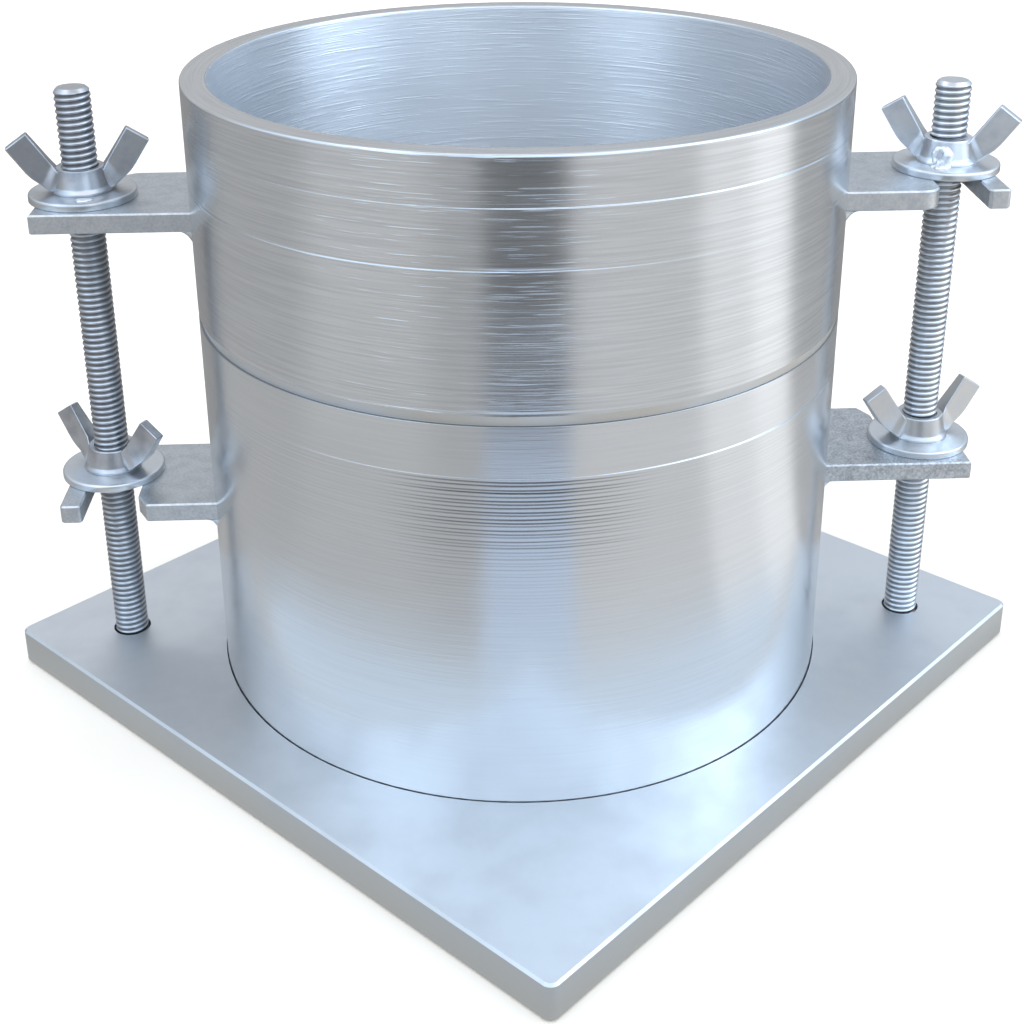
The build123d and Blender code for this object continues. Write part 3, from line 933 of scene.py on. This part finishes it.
# Sections along a bead, and the points on its dished face and on its back
BEAD_STATIONS = 60
FACE_POINTS = 9
BACK_POINTS = 4


def bead_surface(sizes, skin, low_end, high_end, side_sign, top):
    """Fillet bead under a lug: a three-cornered section with a dished face, carried round the tube between
    two ends. The section shrinks by a quarter circle at the ends, and sine ripples run along it."""
    start = math.asin(low_end / skin)
    end = math.asin(high_end / skin)
    angles = np.linspace(start, end, BEAD_STATIONS)
    from_end = np.minimum(angles - start, end - angles) * skin
    swell = np.clip(from_end / sizes.end_taper, 0, 1)
    scale = (sizes.end_share + (1 - sizes.end_share) * np.sqrt(1 - (1 - swell) ** 2))[:, None]
    spread = np.linspace(0, 1, FACE_POINTS)
    back = np.zeros(BACK_POINTS)
    along = np.concatenate([1 - spread, back])
    down = np.concatenate([spread, np.linspace(1, 0, BACK_POINTS + 2)[1:-1]])
    dish = np.concatenate([np.sin(spread * math.pi), back])
    ripple = sizes.ripple * np.sin(angles * skin / sizes.ripple_step * FULL_TURN)
    depth = (sizes.hollow - ripple[:, None]) * dish
    slope = math.hypot(sizes.leg_out, sizes.leg_down)
    out = scale * (sizes.leg_out * along - depth * sizes.leg_down / slope)
    fall = scale * (sizes.leg_down * down - depth * sizes.leg_out / slope)
    return clean_shell(about_axis(skin + out, angles[:, None], top - fall) * (side_sign, 1, 1))


# Facets along and across the set zinc, and the angle from upright at which a puddle's flat top ends
RUN_COLUMNS = 36
RUN_ROWS = 16
PUDDLE_ROWS = 12
PUDDLE_TOP = 0.08


def run_ring(sizes, centre, outward):
    """Ring of set zinc round a pit: a circle of radius r (1 + sin(u + 1) / 5) across the outward direction,
    carried round by a tube whose radius swells by sines of u."""
    aside = np.cross((0.0, 0.0, 1.0), outward)
    aside = aside / np.linalg.norm(aside)
    upward = np.cross(outward, aside)
    u = turns(RUN_COLUMNS)[:, None, None]
    v = turns(RUN_ROWS)[None, :, None]
    from_middle = np.cos(u) * aside + 1.15 * np.sin(u) * upward
    ring = sizes.run_ring * (1 + np.sin(u + 1.0) / 5) * from_middle
    swell = 1 + 0.35 * np.sin(u + 2.2) + 0.2 * np.sin(3 * u + 0.4) + 0.08 * np.sin(7 * u)
    tube = sizes.run_thickness * swell * (np.cos(v) * from_middle + 0.9 * np.sin(v) * outward)
    return clean_shell(centre + ring + tube, ring=True)


def puddle_surface(centre, half_length, half_width, height):
    """Zinc that ran out flat: a half ellipsoid whose outline swells by sines of the angle, on a flat base."""
    tilt = np.linspace(PUDDLE_TOP, QUARTER_TURN, PUDDLE_ROWS)[:, None]
    turn = turns(RUN_COLUMNS)[None, :]
    swell = 1 + 0.12 * np.sin(3 * turn + 0.8) + 0.08 * np.sin(5 * turn)
    return clean_shell(np.stack([
        centre[0] + half_length * swell * np.sin(tilt) * np.cos(turn),
        centre[1] + half_width * swell * np.sin(tilt) * np.sin(turn),
        centre[2] + height * np.cos(tilt) + 0 * turn,
    ], axis=-1))


# Operators


class MOULD_OT_tubes(bpy.types.Operator):
    """Turn the mould and the collar"""

    bl_idname = "compaction_mould.tubes"
    bl_label = "Turned tubes"

    def execute(self, context):
        look = context.scene.compaction_mould
        finish = look.finish
        bright = finish.bright_zinc
        # A fine finishing cut shines almost like a mirror, and the collar's coarser cut breaks that up
        skins = {
            "mould": turned_zinc("fine_turned_zinc_steel", bright, finish, Turning(
                height=0.003, dulling=0.1, roughness=0.21, stretch=0.4
            )),
            "collar": turned_zinc("coarse_turned_zinc_steel", bright, finish, Turning(
                height=0.0135, dulling=0.35, roughness=0.21, stretch=0.4, wiped=(10, 34)
            )),
        }
        # Honing spreads the lights in the bore into wide soft streaks
        honed = turned_zinc("honed_zinc_steel", finish.honed_zinc, finish, Turning(
            height=0.018, dulling=0.1, roughness=0.35, stretch=0.8
        ))
        # The bevel is rubbed through to bare steel, and its warm colour is also a painted reflection of warm
        # ground
        rubbed = flat_zinc("rubbed_bevel_steel", finish.bare_steel_and_warm_reflection, finish.worn_zinc, Grain(
            size=0.5, height=0.004, bloom=40, roughness=0.45
        ))
        surfaces = {"mould": mould_surface, "collar": collar_surface}
        tubes = {}
        for body in TUBES:
            shells = [surfaces[body](look.tubes)]
            nodes = [f"{body}_cylinder"]
            tubes[body] = make_piece(
                f"{body}_turned_tube", shells, skins[body], body, nodes
            )
            paint(tubes[body], honed, lambda radii, levels: radii < BORE_RADIUS + ON_BORE)
        low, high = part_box("collar_cylinder")
        inside = high.x - look.tubes.bevel_cut - ON_BEVEL
        above = low.z + look.tubes.bevel_height
        paint(tubes["collar"], rubbed, lambda radii, levels: (radii > inside) & (levels < above))
        return {"FINISHED"}


class MOULD_OT_plate(bpy.types.Operator):
    """Finish the base plate"""

    bl_idname = "compaction_mould.plate"
    bl_label = "Base plate"

    def execute(self, context):
        finish = context.scene.compaction_mould.finish
        sawn_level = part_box("base_plate")[1].z - finish.sawn_drop
        # Ground flat and plated: an even satin face, and duller edges where it was sawn
        skin = flat_zinc("ground_zinc_plate", finish.bright_zinc, finish.worn_zinc, Grain(
            size=0.9, height=0.004, bloom=22, roughness=0.45
        ), edge=(sawn_level, finish.sawn_zinc))
        finish_node("base_plate", skin)
        return {"FINISHED"}


class MOULD_OT_lugs(bpy.types.Operator):
    """Finish the lugs and lay the beads under them"""

    bl_idname = "compaction_mould.lugs"
    bl_label = "Lugs and beads"

    def execute(self, context):
        look = context.scene.compaction_mould
        finish = look.finish
        # Hot-rolled bar gives the zinc a speckled, sparkling grain, which is darker and deeper on scaled bar
        rolled = flat_zinc("rolled_bar_zinc", finish.worn_zinc, finish.dull_zinc, Grain(
            size=0.7, height=0.012, bloom=4, roughness=0.34, speckle=0.6
        ))
        scaled = flat_zinc("scaled_bar_zinc", finish.worn_zinc, finish.sanded_zinc, Grain(
            size=0.6, height=0.03, bloom=3, roughness=0.4, speckle=0.7
        ))
        # Weld metal is smooth between its ripples, with clouded zinc in the corners
        bead = flat_zinc("welded_zinc", finish.bright_zinc, finish.dull_zinc, Grain(
            size=0.6, height=0.012, bloom=5, roughness=0.32
        ))
        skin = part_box("mould_cylinder")[1].x
        for owner in TUBES:
            for side in SIDES:
                lug = f"{owner}_{side}_lug"
                finish_node(lug, scaled if lug == "mould_right_lug" else rolled)
                low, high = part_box(f"{lug}_weld")
                shell = bead_surface(look.welds, skin, low.y, high.y, math.copysign(1, low.x), high.z)
                make_piece(f"{lug}_bead", [shell], bead, owner, [f"{lug}_weld"])
        return {"FINISHED"}


class MOULD_OT_rods(bpy.types.Operator):
    """Roll the thread of the tie rods"""

    bl_idname = "compaction_mould.rods"
    bl_label = "Threaded rods"

    def execute(self, context):
        look = context.scene.compaction_mould
        finish = look.finish
        # The left rod has darker zinc, painted shade, and the right one still has bright crests; both have
        # painted shade in their roots
        skins = {
            "left": thread_zinc("dulled_thread_zinc", finish.nut_shaded_and_dull, finish.left_thread_shade_and_dirt),
            "right": thread_zinc("bright_thread_zinc", finish.nut_bright, finish.right_thread_shade_and_dirt),
        }
        for side, skin in skins.items():
            node = f"{side}_tie_rod"
            shell = rod_surface(look.rods, *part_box(node))
            make_piece(f"{side}_threaded_rod", [shell], skin, "base", [node])
        return {"FINISHED"}


class MOULD_OT_nuts(bpy.types.Operator):
    """Make the wing nuts and their washers"""

    bl_idname = "compaction_mould.nuts"
    bl_label = "Wing nuts and washers"

    def execute(self, context):
        look = context.scene.compaction_mould
        sizes = look.nuts
        finish = look.finish
        # Pressed from steel and plated: soft broad lights. The left nuts get a darker copy of the zinc,
        # painted shade, and the lower right nut a greyer zinc from handling
        grain = Grain(size=1.6, height=0.008, bloom=6, roughness=0.29)
        darkened = flat_zinc("dulled_pressed_zinc", finish.nut_shaded_and_dull, finish.nut_dark, grain)
        pressed = {
            "upper_left": darkened,
            "lower_left": darkened,
            "upper_right": flat_zinc("pressed_zinc", finish.nut_bright, finish.nut_shaded_and_dull, grain),
            "lower_right": flat_zinc("handled_pressed_zinc", finish.nut_handled, finish.nut_shaded_and_dull, grain),
        }
        # Stamped sheet keeps a smoother, brighter face, and the upper left washer a darker copy of it,
        # painted shade
        grain = Grain(size=1.2, height=0.006, bloom=9, roughness=0.3)
        stamped = flat_zinc("stamped_zinc", finish.bright_zinc, finish.worn_zinc, grain)
        shaded_washer_zinc = flat_zinc("handled_stamped_zinc", finish.worn_zinc, finish.dull_zinc, grain)
        for corner in CORNERS:
            low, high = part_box(f"{corner.split('_')[1]}_tie_rod")
            centre = ((low.x + high.x) / 2, 0.0)
            low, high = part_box(f"{corner}_washer")
            washer = washer_surface(sizes, high.x - centre[0], high.z - low.z, centre, low.z)
            make_piece(
                f"{corner}_stamped_washer",
                [washer],
                shaded_washer_zinc if corner == "upper_left" else stamped,
                f"washer_{corner}",
                [f"{corner}_washer"],
            )
            turn = wing_turn(f"{corner}_wing_nut", centre)
            shells = [boss_surface(sizes, centre, high.z)]
            shells += [wing_surface(sizes, turn + half, centre, high.z) for half in (0, math.pi)]
            make_piece(
                f"{corner}_pressed_wing_nut",
                shells,
                pressed[corner],
                f"nut_{corner}",
                [f"{corner}_wing_nut"],
            )
        return {"FINISHED"}


# Where the zinc set on the upper nuts, from the rod's axis and the washer's top, the way its ring faces, and
# the half length and half width of its puddles
RING_PLACE = np.array((-3.5, -5.5, 2.1)) * MM
RING_FACING = np.array((-0.53, -0.83, 0.18))
PUDDLE_PLACE = np.array((-3.6, -7.6, 0)) * MM
PUDDLE_HALVES = (2.5 * MM, 1.7 * MM)
DROP_PLACE = np.array((2.2, -10.2, 0)) * MM
DROP_HALVES = (2.0 * MM, 1.3 * MM)


class MOULD_OT_runs(bpy.types.Operator):
    """Leave the zinc that ran down two of the nuts"""

    bl_idname = "compaction_mould.runs"
    bl_label = "Zinc runs"

    def execute(self, context):
        look = context.scene.compaction_mould
        sizes = look.welds
        finish = look.finish
        # Zinc that dripped and set: pale, rough lumps
        set_zinc = flat_zinc("dipped_zinc_run", finish.honed_zinc, finish.bright_zinc, Grain(
            size=0.9, height=0.02, bloom=3, roughness=0.4
        ))
        seats = {}
        for side in SIDES:
            low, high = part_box(f"upper_{side}_washer")
            seats[side] = np.array(((low.x + high.x) / 2, 0.0, high.z + sizes.run_gap))
        drop = puddle_surface(seats["left"] + DROP_PLACE, *DROP_HALVES, sizes.drop_height)
        ring = run_ring(sizes, seats["right"] + RING_PLACE, RING_FACING)
        puddle = puddle_surface(seats["right"] + PUDDLE_PLACE, *PUDDLE_HALVES, sizes.puddle_height)
        make_piece("upper_left_zinc_run", [drop], set_zinc, "washer_upper_left")
        make_piece("upper_right_zinc_run", [ring, puddle], set_zinc, "nut_upper_right")
        return {"FINISHED"}


class MOULD_OT_stage(bpy.types.Operator):
    """Set the floor, the light and the camera"""

    bl_idname = "compaction_mould.stage"
    bl_label = "Stage"

    def execute(self, context):
        scene = context.scene
        settings = scene.compaction_mould.stage
        scene.view_settings.view_transform = "Standard"
        set_camera(scene, settings)
        set_world(scene, settings)
        set_floor(settings)
        set_tent(settings)
        set_lamp(scene, settings)
        return {"FINISHED"}


def set_camera(scene, settings):
    """Camera at the photograph's place: panned, dipped and rolled, with the lens shifted."""
    data = bpy.data.cameras.new("camera")
    data.lens = settings.lens
    data.sensor_width = settings.sensor
    data.sensor_fit = "HORIZONTAL"
    data.shift_y = settings.shift
    data.clip_start = 10 * MM
    camera = bpy.data.objects.new("camera", data)
    scene.collection.objects.link(camera)
    turn = Matrix.Rotation(-settings.pan, 4, "Z")
    tilt = Matrix.Rotation(QUARTER_TURN - settings.dip, 4, "X")
    roll = Matrix.Rotation(settings.roll, 4, "Z")
    camera.matrix_world = Matrix.Translation(settings.eye) @ turn @ tilt @ roll
    scene.camera = camera


def shown_rays(add):
    """1 for rays that show the surroundings: from the camera, off metal and through glass."""
    kinds = ("Camera", "Glossy", "Transmission")
    camera, glossy, through = (add("LightPath", output=f"Is {kind} Ray") for kind in kinds)
    seen = add("Math", camera, glossy, operation="MAXIMUM")
    return add("Math", seen, through, operation="MAXIMUM")


def set_world(scene, settings):
    """White surroundings to look at, which light the object at a lower level."""
    world = bpy.data.worlds.new("white_studio")
    add = empty_tree(world)
    level = add("MapRange", shown_rays(add), 0.0, 1.0, settings.world_light, 1.0)
    add("OutputWorld", add("Background", WHITE, level))
    scene.world = world


def stage_object(name, points, faces, material):
    """A stage mesh from points and faces."""
    mesh = bpy.data.meshes.new(name)
    mesh.from_pydata(points, [], faces)
    mesh.materials.append(material)
    thing = bpy.data.objects.new(name, mesh)
    bpy.context.scene.collection.objects.link(thing)
    return thing


def set_floor(settings):
    """Pale floor that glows enough to look white and still takes the object's shadow."""
    material = bpy.data.materials.new("pale_floor")
    add = empty_tree(material)
    matt = add("BsdfDiffuse", settings.floor)
    place = add("TexCoord", output="Object")
    far = add("VectorMath", place, operation="LENGTH")
    white = (settings.white_start, settings.white_end)
    whiteness = add("MapRange", far, *white, settings.floor_glow, 1.0, interpolation_type="SMOOTHSTEP")
    glow = add("Emission", WHITE, add("Math", shown_rays(add), whiteness, operation="MULTIPLY"))
    add("OutputMaterial", add("AddShader", matt, glow))
    half = settings.floor_size / 2
    level = -settings.floor_drop
    corners = [(-half, -half, level), (half, -half, level), (half, half, level), (-half, half, level)]
    stage_object("pale_floor", corners, [(0, 1, 2, 3)], material)


class Card(NamedTuple):
    """A sheet hung in the light tent: its middle and half width in degrees from the front towards the right,
    how many degrees its edge takes to fade, and how bright it makes the low wall, the skirt and the dome."""

    middle: float
    half_width: float
    fade: float
    wall: float
    skirt: float
    dome: float


TENT_CLOTH = Card(0, 180, 1, wall=0.32, skirt=0.34, dome=0.76)
TENT_CARDS = {
    "pale_sides": Card(0, 112, 14, wall=0.465, skirt=0.50, dome=0.88),
    "front_left": Card(-50, 14, 14, wall=0.61, skirt=0.53, dome=1.36),
    "front_right": Card(36, 22, 4, wall=0.66, skirt=0.68, dome=1.25),
    "pale_right": Card(68, 11, 4, wall=0.94, skirt=0.90, dome=1.80),
    "white_right": Card(84, 6, 6, wall=1.18, skirt=1.06, dome=3.00),
    "dark_front": Card(0, 11, 3, wall=0.165, skirt=0.88, dome=1.04),
}

# Edges of the tent's cloths: along the ray from the object towards the front or the middle of the blue cloth,
# up that ray, and as shares of the skirt's reach, the hem's width and the wall's height
AHEAD = (0.0, -1.0, 0.0)
AHEAD_EDGE = (-0.1, 0.3)
BLUE_MIDDLE = (0.2, -0.57, 0.79)
BLUE_EDGE = (-0.18, 0.48)
TOP_EDGE = (0.74, 0.9)
ZENITH_EDGE = (0.92, 0.96)
SKIRT_EDGE = (0.95, 1.05)
HEM_FADE = 1.5
WALL_FADE = 1.2


def tent_levels(add, degrees):
    """Brightness of the wall, the skirt and the dome at an angle, and 1 where the dark card hangs."""
    levels = {place: getattr(TENT_CLOTH, place) for place in ("wall", "skirt", "dome")}
    shown = {}
    for name, card in TENT_CARDS.items():
        away = add("Math", add("Math", degrees, card.middle, operation="SUBTRACT"), operation="ABSOLUTE")
        edge = (card.half_width, card.half_width + card.fade)
        shown[name] = add("MapRange", away, *edge, 1.0, 0.0, interpolation_type="SMOOTHSTEP")
        for place, level in levels.items():
            levels[place] = add("Mix", shown[name], level, getattr(card, place))
    return *levels.values(), shown["dark_front"]


def floor_cloth(add, settings, place, ray, wall, skirt, dark):
    """Cloth on the floor: a grey hem along the plate, which paints the plate's shadow for the reflections,
    then blue near the object in front, then the skirt's levels, and the wall's levels from the skirt's end."""
    far = add("VectorMath", place, operation="LENGTH")
    blue = (settings.tent_blue, settings.tent_pale)
    near = add("MapRange", far, *blue, 1.0, 0.0, interpolation_type="SMOOTHSTEP")
    ahead = add("VectorMath", ray, AHEAD, operation="DOT_PRODUCT")
    near = add("Math", near, add("MapRange", ahead, *AHEAD_EDGE), operation="MULTIPLY")
    shade = add("Mix", dark, WHITE, settings.tent_shade, data_type="RGBA")
    cloth = add("VectorMath", shade, skirt, operation="SCALE")
    glow = [settings.near_level * channel for channel in settings.tent_near]
    cloth = add("Mix", near, cloth, glow, data_type="RGBA")
    spread = add("VectorMath", place, operation="ABSOLUTE")
    spread = add("VectorMath", spread, (1.0, 1.0, 0.0), operation="DOT_PRODUCT")
    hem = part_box("base_plate")[1].x + settings.tent_hem
    hem_end = hem + HEM_FADE * settings.tent_hem
    past_hem = add("MapRange", spread, hem, hem_end, interpolation_type="SMOOTHSTEP")
    # Painted shadow: the grey hem along the plate
    cloth = add("Mix", past_hem, settings.hem_shadow, cloth, data_type="RGBA")
    outside = add("MapRange", far, *(part * settings.tent_skirt for part in SKIRT_EDGE))
    return add("Mix", outside, cloth, wall, data_type="RGBA")


def dome_cloth(add, settings, level, ray, dome):
    """Cloth of the dome: blue in front, grey behind and brighter further up, and white on top, but dimmer
    straight overhead."""
    forward = add("VectorMath", ray, BLUE_MIDDLE, operation="DOT_PRODUCT")
    front = add("MapRange", forward, *BLUE_EDGE, interpolation_type="SMOOTHSTEP")
    blue = [settings.sky_level * channel for channel in settings.tent_sky]
    blue = add("VectorMath", blue, dome, operation="SCALE")
    heights = (settings.back_start, settings.back_end)
    behind = add("MapRange", level, *heights, settings.back_low, settings.back_high)
    grey = add("VectorMath", settings.tent_back, behind, operation="SCALE")
    cloth = add("Mix", front, grey, blue, data_type="RGBA")
    upward = add("SeparateXYZ", ray, output="Z")
    overhead = add("MapRange", upward, *TOP_EDGE, interpolation_type="SMOOTHSTEP")
    levels = (settings.top_level, settings.zenith_level)
    top_level = add("MapRange", upward, *ZENITH_EDGE, *levels, interpolation_type="SMOOTHSTEP")
    top = add("VectorMath", settings.tent_top, top_level, operation="SCALE")
    return add("Mix", overhead, cloth, top, data_type="RGBA")


def tent_tone(add, settings):
    """Colour of the tent at each place: the floor's cloth up to the foot of the dome, then the dome's."""
    place = add("TexCoord", output="Object")
    ray = add("VectorMath", place, operation="NORMALIZE")
    facing = add("Mapping", named={"Vector": place, "Rotation": (0, 0, QUARTER_TURN)})
    around = add("TexGradient", facing, output="Fac", gradient_type="RADIAL")
    degrees = add("MapRange", around, 0.0, 1.0, -180.0, 180.0)
    wall, skirt, dome, dark = tent_levels(add, degrees)
    level = add("SeparateXYZ", place, output="Z")
    low = floor_cloth(add, settings, place, ray, wall, skirt, dark)
    high = dome_cloth(add, settings, level, ray, dome)
    raised = add("MapRange", level, settings.tent_wall, WALL_FADE * settings.tent_wall)
    return add("Mix", raised, low, high, data_type="RGBA")


# Facets of the tent, its height above the floor, how far it stays from the plate, and the angles at which its
# dome stops short of the floor and of the zenith
TENT_COLUMNS = 120
TENT_ROWS = 28
TENT_LIFT = 0.5 * MM
TENT_GAP = 0.2 * MM
DOME_FOOT = 0.01
DOME_OPENING = 0.02


def set_tent(settings):
    """A light tent that shows only in reflections: a cloth on the floor from the plate's outline
    (|x| + |y| = reach) outwards, and a dome over it."""
    material = bpy.data.materials.new("light_tent")
    add = empty_tree(material)
    add("OutputMaterial", add("Emission", tent_tone(add, settings), 1.0))
    angles = turns(TENT_COLUMNS)
    rise = np.linspace(DOME_FOOT, QUARTER_TURN - DOME_OPENING, TENT_ROWS)
    heights = np.concatenate([[TENT_LIFT, TENT_LIFT], settings.tent_radius * np.sin(rise)])
    radii = np.concatenate([[0.0, settings.tent_skirt], settings.tent_radius * np.cos(rise)])[:, None]
    radii = np.repeat(radii, TENT_COLUMNS, axis=1)
    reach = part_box("base_plate")[1].x + TENT_GAP
    radii[0] = reach / (np.abs(np.cos(angles)) + np.abs(np.sin(angles)))
    points = about_axis(radii, angles, heights[:, None]).reshape(-1, 3).tolist()
    *quads, _, top = shell_faces(len(heights), TENT_COLUMNS, False, 0)[0]
    tent = stage_object("light_tent", points, [*quads, top], material)
    tent.visible_camera = False
    tent.visible_diffuse = False
    tent.visible_shadow = False


def set_lamp(scene, settings):
    """One wide soft lamp overhead that lights the floor and is hidden from the camera."""
    data = bpy.data.lights.new("overhead", "AREA")
    data.shape = "DISK"
    data.size = settings.lamp_size
    data.energy = settings.lamp_power
    data.color = settings.overhead
    lamp = bpy.data.objects.new("overhead", data)
    lamp.location = (settings.lamp_aside, 0.0, settings.lamp_height)
    lamp.visible_camera = False
    lamp.visible_glossy = False
    scene.collection.objects.link(lamp)


class VIEW3D_PT_compaction_mould(bpy.types.Panel):
    """Buttons that build the mould, one for each group of pieces"""

    bl_label = "Compaction mould"
    bl_idname = "VIEW3D_PT_compaction_mould"
    bl_space_type = "VIEW_3D"
    bl_region_type = "UI"
    bl_category = "Mould"

    def draw(self, context):
        for operator in OPERATORS:
            self.layout.operator(operator.bl_idname)


OPERATORS = (
    MOULD_OT_tubes,
    MOULD_OT_plate,
    MOULD_OT_lugs,
    MOULD_OT_rods,
    MOULD_OT_nuts,
    MOULD_OT_runs,
    MOULD_OT_stage,
)
CLASSES = (
    TubeSettings,
    RodSettings,
    NutSettings,
    WeldSettings,
    FinishSettings,
    StageSettings,
    MouldSettings,
    *OPERATORS,
    VIEW3D_PT_compaction_mould,
)


def register():
    """Register the classes and hang the settings on the scene."""
    for entry in CLASSES:
        bpy.utils.register_class(entry)
    bpy.types.Scene.compaction_mould = PointerProperty(type=MouldSettings)


def unregister():
    """Take the settings and classes away again."""
    del bpy.types.Scene.compaction_mould
    for entry in reversed(CLASSES):
        bpy.utils.unregister_class(entry)


def main():
    """Register the classes and build every group in order."""
    register()
    bpy.ops.compaction_mould.tubes()
    bpy.ops.compaction_mould.plate()
    bpy.ops.compaction_mould.lugs()
    bpy.ops.compaction_mould.rods()
    bpy.ops.compaction_mould.nuts()
    bpy.ops.compaction_mould.runs()
    bpy.ops.compaction_mould.stage()


if __name__ == "__main__":
    main()
